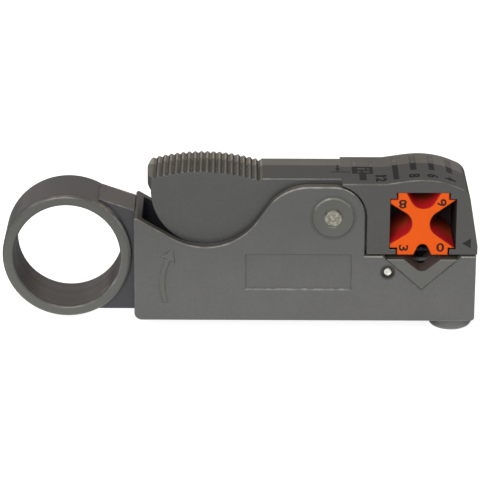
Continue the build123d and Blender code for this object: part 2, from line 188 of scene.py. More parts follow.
class StripperFinishSettings(bpy.types.PropertyGroup):
    """Colours of the mouldings and the prints"""

    body_grey: FloatVectorProperty(
        name="Body Grey",
        description="Colour of the body moulding",
        subtype="COLOR",
        size=3,
        min=0.0,
        max=1.0,
        default=(0.11, 0.11, 0.107),
    )
    lever_grey: FloatVectorProperty(
        name="Lever Grey",
        description="Colour of the thumb lever and the upper jaw",
        subtype="COLOR",
        size=3,
        min=0.0,
        max=1.0,
        default=(0.051, 0.0508, 0.049),
    )
    cartridge_grey: FloatVectorProperty(
        name="Cartridge Grey",
        description="Colour of the blade cartridge",
        subtype="COLOR",
        size=3,
        min=0.0,
        max=1.0,
        default=(0.128, 0.128, 0.116),
    )
    cassette_orange: FloatVectorProperty(
        name="Cassette Orange",
        description="Colour of the V-block cassette",
        subtype="COLOR",
        size=3,
        min=0.0,
        max=1.0,
        default=(1.0, 0.129, 0.008),
    )
    # Painted shade inside the cassette's grooves, red near its face
    cassette_depth: FloatVectorProperty(
        name="Cassette Depth",
        description="Colour that shows inside the cassette's grooves",
        subtype="COLOR",
        size=3,
        min=0.0,
        max=1.0,
        default=(1.0, 0.026, 0.035),
    )
    # Lighter than the body's grey: painted light on the knob, where the body above shades it
    knob_grey: FloatVectorProperty(
        name="Knob Grey",
        description="Colour of the key's knob",
        subtype="COLOR",
        size=3,
        min=0.0,
        max=1.0,
        default=(0.19, 0.19, 0.183),
    )
    # Painted shade deep inside the cassette's grooves
    cassette_core: FloatVectorProperty(
        name="Cassette Core",
        description="Colour deep inside the grooves of the cassette",
        subtype="COLOR",
        size=3,
        min=0.0,
        max=1.0,
        default=(0.75, 0.085, 0.03),
    )
    number_ink: FloatVectorProperty(
        name="Number Ink",
        description="Colour of the numbers on the cassette",
        subtype="COLOR",
        size=3,
        min=0.0,
        max=1.0,
        default=(0.075, 0.011, 0.004),
    )
    ink: FloatVectorProperty(
        name="Printing Ink",
        description="Colour of the printed scale and the pointer",
        subtype="COLOR",
        size=3,
        min=0.0,
        max=1.0,
        default=(0.0115, 0.011, 0.0105),
    )


class StripperPrintSettings(bpy.types.PropertyGroup):
    """Sizes of the printed marks"""

    ink_height: FloatProperty(
        name="Ink Height",
        description="Thickness of the printed marks",
        subtype="DISTANCE",
        unit="LENGTH",
        min=0.00001,
        default=0.03 * MM,
    )
    scale_number: FloatProperty(
        name="Scale Number Height",
        description="Height of the numbers on top of the jaw",
        subtype="DISTANCE",
        unit="LENGTH",
        min=0.0001,
        default=2.3 * MM,
    )
    cassette_number: FloatProperty(
        name="Cassette Number Height",
        description="Height of the numbers on the cassette",
        subtype="DISTANCE",
        unit="LENGTH",
        min=0.0001,
        default=1.95 * MM,
    )


class StripperSpringSettings(bpy.types.PropertyGroup):
    """The coil of the return spring"""

    coils: IntProperty(
        name="Coils",
        description="Turns of the spring's wire",
        min=3,
        max=12,
        default=6,
    )
    wire: FloatProperty(
        name="Wire Radius",
        description="Radius of the spring's wire",
        subtype="DISTANCE",
        unit="LENGTH",
        min=0.1 * MM,
        max=0.6 * MM,
        default=0.35 * MM,
    )
    travel: FloatProperty(
        name="Travel",
        description="How much shorter the spring is with the thumb pad pressed down",
        subtype="DISTANCE",
        unit="LENGTH",
        min=1.0 * MM,
        max=6.0 * MM,
        default=3.5 * MM,
    )


class StripperStageSettings(bpy.types.PropertyGroup):
    """Camera and light"""

    camera_distance: FloatProperty(
        name="Camera Distance",
        description="Distance from the camera to the aimed point",
        subtype="DISTANCE",
        unit="LENGTH",
        default=0.6,
    )
    camera_elevation: FloatProperty(
        name="Camera Elevation",
        description="Angle of the camera above the horizon",
        subtype="ANGLE",
        unit="ROTATION",
        default=math.radians(20.4),
    )
    camera_roll: FloatProperty(
        name="Camera Roll",
        description="Turn of the camera about its own line of sight",
        subtype="ANGLE",
        unit="ROTATION",
        default=math.radians(0.22),
    )
    aim_across: FloatProperty(
        name="Aim Across",
        description="Distance of the aimed point from the tool's middle",
        subtype="DISTANCE",
        unit="LENGTH",
        default=0.12 * MM,
    )
    aim_height: FloatProperty(
        name="Aim Height",
        description="Height of the aimed point on the front face",
        subtype="DISTANCE",
        unit="LENGTH",
        default=22.43 * MM,
    )
    focal_length: FloatProperty(
        name="Focal Length",
        description="Focal length of the camera on a 36 mm sensor",
        subtype="DISTANCE_CAMERA",
        unit="CAMERA",
        default=213.6,
    )
    front_light: FloatProperty(
        name="Front Light",
        description="Power of the large soft box in front of the tool",
        subtype="POWER",
        default=3.4,
    )
    top_light: FloatProperty(
        name="Top Light",
        description="Power of the soft box above the tool",
        subtype="POWER",
        default=0.5,
    )


# Shader nodes


def put(tree, value, socket):
    """Link a socket to another, or give it a plain value."""
    if isinstance(value, bpy.types.NodeSocket):
        tree.links.new(value, socket)
    else:
        socket.default_value = value


def math_of(tree, operation, *values):
    """A math node whose inputs are sockets or plain numbers."""
    node = tree.nodes.new("ShaderNodeMath")
    node.operation = operation
    for socket, value in zip(node.inputs, values):
        put(tree, value, socket)
    return node.outputs[0]


def product(tree, first, *others):
    """All masks multiplied."""
    for other in others:
        first = math_of(tree, "MULTIPLY", first, other)
    return first


def absolute(tree, value):
    """A value without its sign."""
    return math_of(tree, "ABSOLUTE", value)


def ramp(tree, value, low, high, start=0.0, end=1.0):
    """A smooth step from start to end as a value goes from low to high."""
    node = tree.nodes.new("ShaderNodeMapRange")
    node.interpolation_type = "SMOOTHSTEP"
    node.inputs["From Min"].default_value = low
    node.inputs["From Max"].default_value = high
    node.inputs["To Min"].default_value = start
    node.inputs["To Max"].default_value = end
    tree.links.new(value, node.inputs["Value"])
    return node.outputs["Result"]


def slope(tree, value, start, end, low=0.0, high=1.0):
    """A straight line from start to end as a value goes from low to high."""
    node = tree.nodes.new("ShaderNodeMapRange")
    node.inputs["From Min"].default_value = low
    node.inputs["From Max"].default_value = high
    put(tree, start, node.inputs["To Min"])
    put(tree, end, node.inputs["To Max"])
    tree.links.new(value, node.inputs["Value"])
    return node.outputs["Result"]


def noise_at(tree, scale, detail, roughness=0.5):
    """Noise on object coordinates."""
    where = tree.nodes.new("ShaderNodeTexCoord")
    noise = tree.nodes.new("ShaderNodeTexNoise")
    put(tree, scale, noise.inputs["Scale"])
    noise.inputs["Detail"].default_value = detail
    noise.inputs["Roughness"].default_value = roughness
    tree.links.new(where.outputs["Object"], noise.inputs["Vector"])
    return noise.outputs["Fac"]


def bump_from(tree, height, strength, distance):
    """A normal that follows a height."""
    bump = tree.nodes.new("ShaderNodeBump")
    bump.inputs["Distance"].default_value = distance
    put(tree, strength, bump.inputs["Strength"])
    tree.links.new(height, bump.inputs["Height"])
    return bump.outputs["Normal"]


def blend(tree, factor, first, second, mode="MIX"):
    """The first colour where the factor is nothing, and the second where it is one."""
    mix = tree.nodes.new("ShaderNodeMix")
    mix.data_type = "RGBA"
    mix.blend_type = mode
    put(tree, factor, mix.inputs["Factor"])
    put(tree, first, mix.inputs["A"])
    put(tree, second, mix.inputs["B"])
    return mix.outputs["Result"]


def scaled(tree, colour, amount):
    """A colour times a value."""
    scale = tree.nodes.new("ShaderNodeVectorMath")
    scale.operation = "SCALE"
    tree.links.new(colour, scale.inputs[0])
    tree.links.new(amount, scale.inputs["Scale"])
    return scale.outputs["Vector"]


def parts_of(tree, output):
    """The x, y and z of an output of the texture coordinates."""
    where = tree.nodes.new("ShaderNodeTexCoord")
    split = tree.nodes.new("ShaderNodeSeparateXYZ")
    tree.links.new(where.outputs[output], split.inputs[0])
    return split.outputs


class Spot:
    """The shaded point: where it lies on the tool, how its face looks, and masks from both."""

    def __init__(self, tree):
        self.tree = tree
        self.x, self.y, self.z = parts_of(tree, "Object")
        self.facing_x, self.facing_y, self.facing_z = parts_of(tree, "Normal")
        self.depth = absolute(tree, self.y)

    def fade(self, value, low, high):
        """Nothing at low, and one at high."""
        return ramp(self.tree, value, low, high)

    def under(self, value, limit):
        """One where a value is less than a limit."""
        return math_of(self.tree, "LESS_THAN", value, limit)

    def over(self, value, limit):
        """One where a value is more than a limit."""
        return math_of(self.tree, "GREATER_THAN", value, limit)

    def away(self, value, middle):
        """How far a value is from the middle."""
        return absolute(self.tree, math_of(self.tree, "SUBTRACT", value, middle))

    def near(self, value, middle, reach):
        """One where a value is near the middle, and nothing beyond its reach."""
        return self.fade(self.away(value, middle), reach, 0.4 * reach)

    def front(self):
        """Faces that look to the front."""
        return self.fade(self.facing_y, -0.8, -0.95)

    def rim(self):
        """Faces that look neither to the front nor to the back."""
        return self.fade(absolute(self.tree, self.facing_y), 0.7, 0.3)

    def top(self, low, high):
        """Faces that look up."""
        return self.fade(self.facing_z, low, high)

    def rear_of_tops(self):
        """The rear part of the faces that look up, where a paler top gloss is painted into the
        colour as a sheen.
        """
        return product(self.tree, self.fade(self.y, *TOP_SPLIT), self.top(0.6, 0.9))

    def reach_from(self, centre):
        """Distance in the XZ plane from a centre."""
        across = math_of(self.tree, "SUBTRACT", self.x, centre[0])
        up = math_of(self.tree, "SUBTRACT", self.z, centre[1])
        squares = product(self.tree, across, across), product(self.tree, up, up)
        return math_of(self.tree, "SQRT", math_of(self.tree, "ADD", *squares))

    def tint(self, colour, tint, *masks):
        """A colour multiplied by a tint where all the masks are one."""
        return blend(self.tree, product(self.tree, *masks), colour, (*tint, 1.0), "MULTIPLY")


# Shader groups


def group_with(name, inputs, outputs):
    """A new shader node group with its input and output nodes."""
    group = bpy.data.node_groups.new(name, "ShaderNodeTree")
    for socket_name, socket_type, default in inputs:
        socket = group.interface.new_socket(socket_name, in_out="INPUT", socket_type=socket_type)
        socket.default_value = default
    for socket_name, socket_type in outputs:
        group.interface.new_socket(socket_name, in_out="OUTPUT", socket_type=socket_type)
    return group, group.nodes.new("NodeGroupInput"), group.nodes.new("NodeGroupOutput")


def softened(tree):
    """How much a bevelled face still looks its own way, and the way it then leans."""
    bevel = tree.nodes.new("ShaderNodeBevel")
    bevel.samples = EDGE_SAMPLES
    bevel.inputs["Radius"].default_value = EDGE_WIDTH
    plain = tree.nodes.new("ShaderNodeNewGeometry")
    likeness = tree.nodes.new("ShaderNodeVectorMath")
    likeness.operation = "DOT_PRODUCT"
    tree.links.new(bevel.outputs["Normal"], likeness.inputs[0])
    tree.links.new(plain.outputs["Normal"], likeness.inputs[1])
    leaning = tree.nodes.new("ShaderNodeSeparateXYZ")
    tree.links.new(bevel.outputs["Normal"], leaning.inputs[0])
    return likeness.outputs["Value"], leaning.outputs


def bright_edges(spot, likeness, leaning):
    """Painted highlights on edges that look up: broken up unevenly by noise, and patchy on the
    ring.
    """
    tree = spot.tree
    squared = product(tree, spot.facing_y, spot.facing_y)
    rounded = product(tree, squared, math_of(tree, "SUBTRACT", 1.0, squared))
    rounded = product(tree, spot.fade(rounded, 0.06, 0.22), 0.5)
    edge = math_of(tree, "MAXIMUM", rounded, spot.fade(likeness, 0.985, 0.86))
    upward = ramp(tree, leaning["Z"], -0.3, 0.5, 0.06, 1.0)
    patches = ramp(tree, noise_at(tree, PATCH_SCALE, 2.0), 0.42, 0.66, 0.94, 0.4)
    patches = product(tree, spot.fade(spot.x, *RING_PATCHES), patches)
    whole = math_of(tree, "SUBTRACT", 1.0, patches)
    worn = ramp(tree, noise_at(tree, WEAR_SCALE, 3.0), 0.35, 0.65, 0.45, 1.4)
    return product(tree, edge, upward, whole, worn)


def dark_edges(spot, likeness, leaning):
    """Painted shade on edges that look down or aside, except on the ring and its web."""
    aside = spot.fade(absolute(spot.tree, leaning["X"]), 0.15, 0.45)
    lower = spot.fade(leaning["Z"], -0.05, -0.3)
    leans = math_of(spot.tree, "MAXIMUM", aside, lower)
    off_web = spot.fade(spot.x, RING_START, WEB_END - 0.3 * MM)
    return product(spot.tree, spot.fade(likeness, 0.995, 0.93), leans, off_web)


def moulded_skin():
    """Group for moulded plastic: mottling, spark grain, uneven gloss, painted highlights and shade
    on edges, a painted sheen on the rear of tops, a painted warm cast on tops, and painted shade
    towards the top.
    """
    name = "Moulded Skin"
    if name in bpy.data.node_groups:
        return bpy.data.node_groups[name]
    group, given, out = group_with(
        name,
        [
            ("Colour", "NodeSocketColor", (0.15, 0.15, 0.15, 1.0)),
            ("Mottle", "NodeSocketFloat", 0.08),
            ("Gloss Low", "NodeSocketFloat", 0.42),
            ("Gloss High", "NodeSocketFloat", 0.55),
            ("Grain", "NodeSocketFloat", 0.06),
            ("Rear Band", "NodeSocketFloat", 0.0),
            ("Edge Light", "NodeSocketFloat", 0.0),
            ("Top Tint", "NodeSocketColor", (1.0, 1.0, 1.0, 1.0)),
            ("Top Fade", "NodeSocketFloat", 0.0),
        ],
        [
            ("Colour", "NodeSocketColor"),
            ("Roughness", "NodeSocketFloat"),
            ("Coat", "NodeSocketFloat"),
            ("Normal", "NodeSocketVector"),
        ],
    )
    given = given.outputs
    spot = Spot(group)
    flow = noise_at(group, FLOW_SCALE, 4.0, 0.6)
    speckle = ramp(group, noise_at(group, SPECKLE_SCALE, 2.0), 0.3, 0.7, -0.8, 0.8)
    clouds = math_of(group, "ADD", ramp(group, flow, 0.25, 0.75, -1.0, 1.0), speckle)
    likeness, leaning = softened(group)
    # bright is a painted highlight along edges that look up
    bright = bright_edges(spot, likeness, leaning)
    # dark is a painted shade along edges that look down or aside
    dark = dark_edges(spot, likeness, leaning)
    # Painted shade that darkens the plastic towards the top
    height = spot.fade(spot.z, 6 * MM, 32 * MM)
    fade = math_of(group, "SUBTRACT", 1.0, product(group, height, given["Top Fade"]))
    amount = product(
        group,
        math_of(group, "MULTIPLY_ADD", clouds, given["Mottle"], 1.0),
        # A painted sheen lightens the rear of the tops
        math_of(group, "MULTIPLY_ADD", spot.rear_of_tops(), given["Rear Band"], 1.0),
        math_of(group, "MULTIPLY_ADD", bright, given["Edge Light"], 1.0),
        math_of(group, "MULTIPLY_ADD", dark, EDGE_SHADE, 1.0),
        fade,
    )
    colour = scaled(group, given["Colour"], amount)
    # A painted warm cast on faces that look up
    colour = blend(group, spot.top(0.3, 0.8), colour, given["Top Tint"], "MULTIPLY")
    aside = spot.fade(absolute(group, spot.facing_x), 0.35, 0.85)
    gloss = slope(group, flow, given["Gloss Low"], given["Gloss High"])
    grain = bump_from(group, noise_at(group, GRAIN_SCALE, 2.0), given["Grain"], GRAIN_HEIGHT)
    # The painted edge highlights get their own tint
    put(group, spot.tint(colour, EDGE_TINT, bright), out.inputs["Colour"])
    put(group, math_of(group, "MULTIPLY_ADD", aside, SIDE_DULLNESS, gloss), out.inputs["Roughness"])
    put(group, math_of(group, "MULTIPLY_ADD", aside, -COAT, COAT), out.inputs["Coat"])
    put(group, grain, out.inputs["Normal"])
    return group


def worked_steel():
    """Group for steel: streaks, dark pits and an uneven surface."""
    name = "Worked Steel"
    if name in bpy.data.node_groups:
        return bpy.data.node_groups[name]
    group, given, out = group_with(
        name,
        [
            ("Bright", "NodeSocketColor", (0.6, 0.6, 0.58, 1.0)),
            ("Dark", "NodeSocketColor", (0.2, 0.2, 0.19, 1.0)),
            ("Scale", "NodeSocketFloat", 900.0),
            ("Depth", "NodeSocketFloat", 0.4),
        ],
        [
            ("Colour", "NodeSocketColor"),
            ("Roughness", "NodeSocketFloat"),
            ("Normal", "NodeSocketVector"),
        ],
    )
    given = given.outputs
    noise = noise_at(group, given["Scale"], 5.0, 0.65)
    spread = slope(group, noise, 0.0, 1.0, 0.35, 0.62)
    put(group, blend(group, spread, given["Dark"], given["Bright"]), out.inputs["Colour"])
    put(group, slope(group, noise, 0.55, 0.28), out.inputs["Roughness"])
    put(group, bump_from(group, noise, given["Depth"], PIT_HEIGHT), out.inputs["Normal"])
    return group


# Shading of the body


def well_shade(spot, colour):
    """Paint shade inside the well, which keeps it dark."""
    within = spot.under(spot.depth, WELL_SIDE)
    along = product(spot.tree, spot.over(spot.x, WELL_START), spot.under(spot.x, WELL_STOP))
    return spot.tint(colour, (0.19, 0.19, 0.25), within, along, spot.over(spot.z, WELL_FLOOR))


def web_shade(spot, colour):
    """Paint shade on the web's sunk sides, paint light on its top, and paint a sparkling highlight
    along the top's edges.
    """
    behind = spot.under(spot.x, WEB_END)
    flat = spot.fade(absolute(spot.tree, spot.facing_y), 0.6, 0.9)
    sunk = spot.under(spot.depth, WEB_SIDE)
    colour = spot.tint(colour, (0.21, 0.195, 0.29), sunk, flat, behind)
    top = product(spot.tree, spot.top(0.5, 0.8), behind, spot.fade(spot.x, *WEB_TOP))
    colour = spot.tint(colour, (1.4, 1.36, 1.36), top)
    sparkle = ramp(spot.tree, noise_at(spot.tree, STREAK_SCALE, 2.0), 0.35, 0.6, 0.3, 1.0)
    edge = spot.fade(spot.depth, *WEB_EDGE)
    return spot.tint(colour, (2.3, 2.35, 2.4), top, edge, sparkle)


def wall_top_shade(spot, colour):
    """Paint light on the tops of the side walls towards the ears."""
    wall = spot.over(spot.depth, WALL_SIDE)
    along = spot.fade(spot.x, *WALL_RISE)
    return spot.tint(colour, (1.8, 1.82, 1.76), wall, spot.top(0.3, 0.7), along)


def ring_shade(spot, colour):
    """Paint shade, streaked around its axis, in the ring's bore, and warm its front."""
    rings = spot.tree.nodes.new("ShaderNodeTexNoise")
    rings.noise_dimensions = "1D"
    rings.inputs["Scale"].default_value = STREAK_SCALE
    spot.tree.links.new(spot.y, rings.inputs["W"])
    streaks = ramp(spot.tree, rings.outputs["Fac"], 0.4, 0.6, 0.45, 1.0)
    reach = spot.reach_from(RING_CENTRE)
    bore = spot.fade(reach, RING_BORE + 0.1 * MM, RING_BORE - 0.1 * MM)
    colour = spot.tint(colour, (0.66, 0.56, 0.52), bore, spot.rim(), streaks)
    return spot.tint(colour, WARM_FRONT, spot.under(spot.x, RING_START), spot.front())


def boss_shade(spot, colour):
    """Warm what is raised, paint a shadow at the foot of the pivot boss, and paint a highlight on
    the top of its rim.
    """
    colour = spot.tint(colour, WARM_FRONT, spot.over(spot.depth, RAISED_SIDE))
    reach = spot.reach_from(PIVOT)
    foot = spot.near(reach, BOSS_FOOT, 0.45 * MM)
    colour = spot.tint(colour, (0.72, 0.73, 0.69), foot, spot.front())
    lit = spot.fade(spot.z, PIVOT[1] + 1 * MM, PIVOT[1] + 3.6 * MM)
    return spot.tint(colour, (1.14, 1.15, 1.14), spot.near(reach, BOSS_RIM, 0.3 * MM), lit)


def seam_shade(spot, colour):
    """Paint shade in the mouth of the cross pin's hole and along the seams beside the blade
    cartridge.
    """
    mouth = spot.fade(spot.reach_from(CROSS_PIN), 1.95 * MM, 1.45 * MM)
    colour = spot.tint(colour, (0.2, 0.19, 0.17), mouth)
    across = spot.away(spot.x, CARTRIDGE_TIP[0])
    side = math_of(spot.tree, "MULTIPLY_ADD", across, CARTRIDGE_SLOPE, CARTRIDGE_TIP[1])
    seam = spot.fade(spot.away(spot.z, side), 0.6 * MM, 0.2 * MM)
    below = spot.under(spot.z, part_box("blade_cartridge")[1].z + 1 * MM)
    return spot.tint(colour, (0.66, 0.66, 0.58), seam, below, spot.front())


# Shading of the lever


def rib_shade(spot, colour):
    """Paint shade in the thumb pad's rib valleys and highlights on their crests, and paint light
    over the ribs, more on their front part.
    """
    ribs = product(spot.tree, spot.under(spot.x, RIBS_END), spot.rim())
    upper = spot.over(spot.z, RIBS_FOOT)
    reach = spot.reach_from(CROWN_CENTRE)
    valley = spot.fade(reach, CROWN_RADIUS + 0.38 * MM, CROWN_RADIUS + 0.15 * MM)
    crest = spot.fade(reach, CROWN_RADIUS + 0.28 * MM, CROWN_RADIUS + 0.5 * MM)
    ahead = spot.fade(spot.y, *reversed(TOP_SPLIT))
    colour = spot.tint(colour, (0.66, 0.65, 0.6), ribs, upper, valley)
    colour = spot.tint(colour, (1.5, 1.5, 1.46), ribs, upper)
    colour = spot.tint(colour, (1.22, 1.22, 1.2), ribs, upper, ahead)
    return spot.tint(colour, (1.6, 1.64, 1.62), ribs, crest)


def pad_edge_shade(spot, colour):
    """Paint a highlight line along the edges of the pad's flat top."""
    start = spot.fade(spot.x, RIBS_END, RIBS_END + 0.4 * MM)
    along = product(spot.tree, start, spot.under(spot.x, PAD_END))
    side = spot.fade(spot.depth, PAD_SIDE - 0.2 * MM, PAD_SIDE)
    upper = spot.fade(spot.z, PAD_TOP - 0.2 * MM, PAD_TOP)
    return spot.tint(colour, (1.7, 1.72, 1.72), along, side, upper)


def jaw_shade(spot, colour):
    """Make the jaw a little browner, paint a paler sheen on the rear of its top that grows towards
    the nose, and paint highlights on its edges.
    """
    colour = spot.tint(colour, (0.86, 0.84, 0.79), spot.fade(spot.x, *JAW_BROWNING))
    start = spot.fade(spot.x, PAD_END, JAW_START)
    shoulder = spot.fade(spot.x, *JAW_SHOULDER)
    rear = spot.rear_of_tops()
    # Painted sheen on the rear of the top: stronger past the crest, weaker from the pad to the
    # shoulder
    colour = spot.tint(colour, (1.17, 1.18, 1.18), rear, spot.fade(spot.x, *JAW_CREST))
    colour = spot.tint(colour, (0.85, 0.84, 0.86), rear, start, shoulder)
    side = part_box("thumb_lever")[1].y
    edge = spot.fade(spot.depth, side - 0.6 * MM, side - 0.35 * MM)
    return spot.tint(colour, (1.45, 1.5, 1.52), edge, spot.top(0.05, 0.35), start)


def pocket_shade(spot, colour):
    """Paint shade on the walls of the jaw's pocket around the cassette."""
    low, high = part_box("v_block_cassette")
    centre = (low + high) / 2
    reach = (high.x - low.x) / 2 + 0.6 * MM
    across = spot.under(spot.away(spot.x, centre.x), reach)
    up = spot.under(spot.away(spot.z, centre.z), reach)
    return spot.tint(colour, (0.2, 0.185, 0.2), across, up, spot.rim())


# Shading of the cartridge and the cassette


def cartridge_shade(spot, colour):
    """Paint a highlight line along the top of the cartridge's front."""
    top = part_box("blade_cartridge")[1].z
    line = spot.fade(spot.z, top - 0.35 * MM, top - 0.15 * MM)
    return spot.tint(colour, (1.5, 1.48, 1.4), line, spot.front())


def groove_shade(spot, colour):
    """Paint shade into the cassette's grooves: red at its face, going to a dark brown at its back.
    """
    tree = spot.tree
    finish = bpy.context.scene.stripper_finish
    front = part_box("v_block_cassette")[0].y
    red, brown = (*finish.cassette_depth, 1.0), (*finish.cassette_core, 1.0)
    deeper = spot.fade(spot.y, front + 2.5 * MM, front + 9.0 * MM)
    shade = ramp(tree, spot.y, front + 5 * MM, front + 21 * MM, 1.0, 0.25)
    inner = spot.fade(absolute(tree, spot.facing_y), 0.9, 0.5)
    return blend(tree, inner, colour, scaled(tree, blend(tree, deeper, red, brown), shade))


# Materials


def fresh_material(name):
    """A new node material, its tree and its Principled shader."""
    material = bpy.data.materials.new(name)
    material.use_nodes = True
    return material, material.node_tree, material.node_tree.nodes["Principled BSDF"]


def placed(tree, group, values):
    """A group placed in a material with its own values, by socket name."""
    node = tree.nodes.new("ShaderNodeGroup")
    node.node_tree = group
    for name, value in values.items():
        node.inputs[name].default_value = value
    return node.outputs


def moulding(name, colour, mottle, gloss, grain, shades=(), coated=False, specular=0.5, **others):
    """A moulded plastic, its features shaded in turn. The others are inputs of the skin group."""
    material, tree, shader = fresh_material(name)
    skin = placed(
        tree,
        moulded_skin(),
        {
            "Colour": (*colour, 1.0),
            "Mottle": mottle,
            "Gloss Low": gloss[0],
            "Gloss High": gloss[1],
            "Grain": grain,
            **{key.replace("_", " ").title(): value for key, value in others.items()},
        },
    )
    shaded = skin["Colour"]
    if shades:
        spot = Spot(tree)
        for shade in shades:
            shaded = shade(spot, shaded)
    tree.links.new(shaded, shader.inputs["Base Color"])
    tree.links.new(skin["Roughness"], shader.inputs["Roughness"])
    tree.links.new(skin["Normal"], shader.inputs["Normal"])
    if coated:
        tree.links.new(skin["Coat"], shader.inputs["Coat Weight"])
        shader.inputs["Coat Roughness"].default_value = COAT_ROUGHNESS
    shader.inputs["Specular IOR Level"].default_value = specular
    return material


def steel(name, bright, dark, scale, depth):
    """A bare or blackened steel."""
    material, tree, shader = fresh_material(name)
    metal = placed(
        tree,
        worked_steel(),
        {"Bright": (*bright, 1.0), "Dark": (*dark, 1.0), "Scale": scale, "Depth": depth},
    )
    shader.inputs["Metallic"].default_value = 1.0
    tree.links.new(metal["Colour"], shader.inputs["Base Color"])
    tree.links.new(metal["Roughness"], shader.inputs["Roughness"])
    tree.links.new(metal["Normal"], shader.inputs["Normal"])
    return material


def ink_material(name, colour, rear_band):
    """A printing ink, a little uneven where it wears, with a painted sheen on the rear of its tops.
    """
    if name in bpy.data.materials:
        return bpy.data.materials[name]
    return moulding(name, colour, 0.3, (0.4, 0.6), 0.1, specular=0.3, rear_band=rear_band)


def dress(material, *nodes):
    """Give CAD nodes one material."""
    for node in nodes:
        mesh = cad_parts[node].data
        mesh.materials.clear()
        mesh.materials.append(material)


# Pieces and printed marks


def finished(form, name):
    """A mesh from a bmesh, which is then freed."""
    mesh = bpy.data.meshes.new(name)
    form.to_mesh(mesh)
    form.free()
    return mesh


def new_piece(name, form, body, material):
    """A finished piece that rides on a body of the tool."""
    mesh = finished(form, name)
    piece = bpy.data.objects.new(name, mesh)
    bpy.context.scene.collection.objects.link(piece)
    mesh.materials.append(material)
    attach(piece, body)
    return piece


def raise_ink(form, direction, height):
    """Give a flat print its thickness along a direction."""
    raised = bmesh.ops.extrude_face_region(form, geom=form.faces[:])
    verts = [item for item in raised["geom"] if isinstance(item, bmesh.types.BMVert)]
    bmesh.ops.translate(form, verts=verts, vec=direction * height)
    bmesh.ops.recalc_face_normals(form, faces=form.faces[:])


def add_bar(form, low, high, cuts=6):
    """A flat bar between two corners in the XY plane, in mm, fine enough to follow a curved top."""
    low, high = Vector((*low, 0.0)) * MM, Vector((*high, 0.0)) * MM
    made = bmesh.ops.create_grid(form, x_segments=cuts, y_segments=cuts, size=0.5)
    size = high - low
    bmesh.ops.scale(form, vec=(size.x, size.y, 1.0), verts=made["verts"])
    bmesh.ops.translate(form, vec=(low + high) / 2, verts=made["verts"])


def add_triangle(form, centre, reach, turn, stretch=1.0):
    """A flat triangle in the XY plane, sized in mm: points down Y, is turned, then stretched."""
    made = bmesh.ops.create_circle(form, cap_ends=True, segments=3, radius=reach * MM)
    low = min(made["verts"], key=lambda vert: vert.co.y)
    first = math.atan2(low.co.y, low.co.x)
    spin = Matrix.Rotation(turn - math.pi / 2 - first, 3, "Z")
    bmesh.ops.rotate(form, cent=(0, 0, 0), matrix=spin, verts=made["verts"])
    bmesh.ops.scale(form, vec=(1.0, stretch, 1.0), verts=made["verts"])
    bmesh.ops.translate(form, vec=Vector((*centre, 0.0)) * MM, verts=made["verts"])


def add_number(form, text, height, centre, turn, stretch, weight):
    """A number in the XY plane, as tall as height, stretched sideways, then turned in degrees."""
    curve = bpy.data.curves.new("number", "FONT")
    curve.body = text
    curve.size = height
    curve.offset = weight * height
    curve.align_x = "CENTER"
    curve.resolution_u = 6
    writer = bpy.data.objects.new("number", curve)
    bpy.context.scene.collection.objects.link(writer)
    bpy.context.view_layer.update()
    shape = bpy.data.meshes.new_from_object(writer)
    bpy.data.objects.remove(writer)
    bpy.data.curves.remove(curve)
    before = set(form.verts)
    form.from_mesh(shape)
    bpy.data.meshes.remove(shape)
    added = [vert for vert in form.verts if vert not in before]
    xs = [vert.co.x for vert in added]
    ys = [vert.co.y for vert in added]
    middle = Vector(((min(xs) + max(xs)) / 2, (min(ys) + max(ys)) / 2, 0.0))
    fit = height / (max(ys) - min(ys))
    spin = Matrix.Rotation(math.radians(turn), 3, "Z")
    bmesh.ops.translate(form, vec=-middle, verts=added)
    bmesh.ops.scale(form, vec=(fit * stretch, fit, 1.0), verts=added)
    bmesh.ops.rotate(form, cent=(0, 0, 0), matrix=spin, verts=added)
    bmesh.ops.translate(form, vec=(*centre, 0.0), verts=added)


def lay_on_top(form, node):
    """Drop every point of a flat print onto the top of a CAD node."""
    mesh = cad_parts[node].data
    tree = BVHTree.FromPolygons([v.co for v in mesh.vertices], [p.vertices for p in mesh.polygons])
    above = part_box(node)[1].z + 5 * MM
    for vert in form.verts:
        hit = tree.ray_cast(Vector((vert.co.x, vert.co.y, above)), Vector((0, 0, -1)))[0]
        if hit is None:
            raise RuntimeError("a printed mark lies outside the top of " + node)
        vert.co.z = hit.z


def stand_up(form, y):
    """Turn a print from the XY plane to face the front at a depth."""
    upright = Matrix.Rotation(math.radians(90), 3, "X")
    bmesh.ops.rotate(form, cent=(0, 0, 0), matrix=upright, verts=form.verts[:])
    bmesh.ops.translate(form, vec=(0, y, 0), verts=form.verts[:])


# Operators


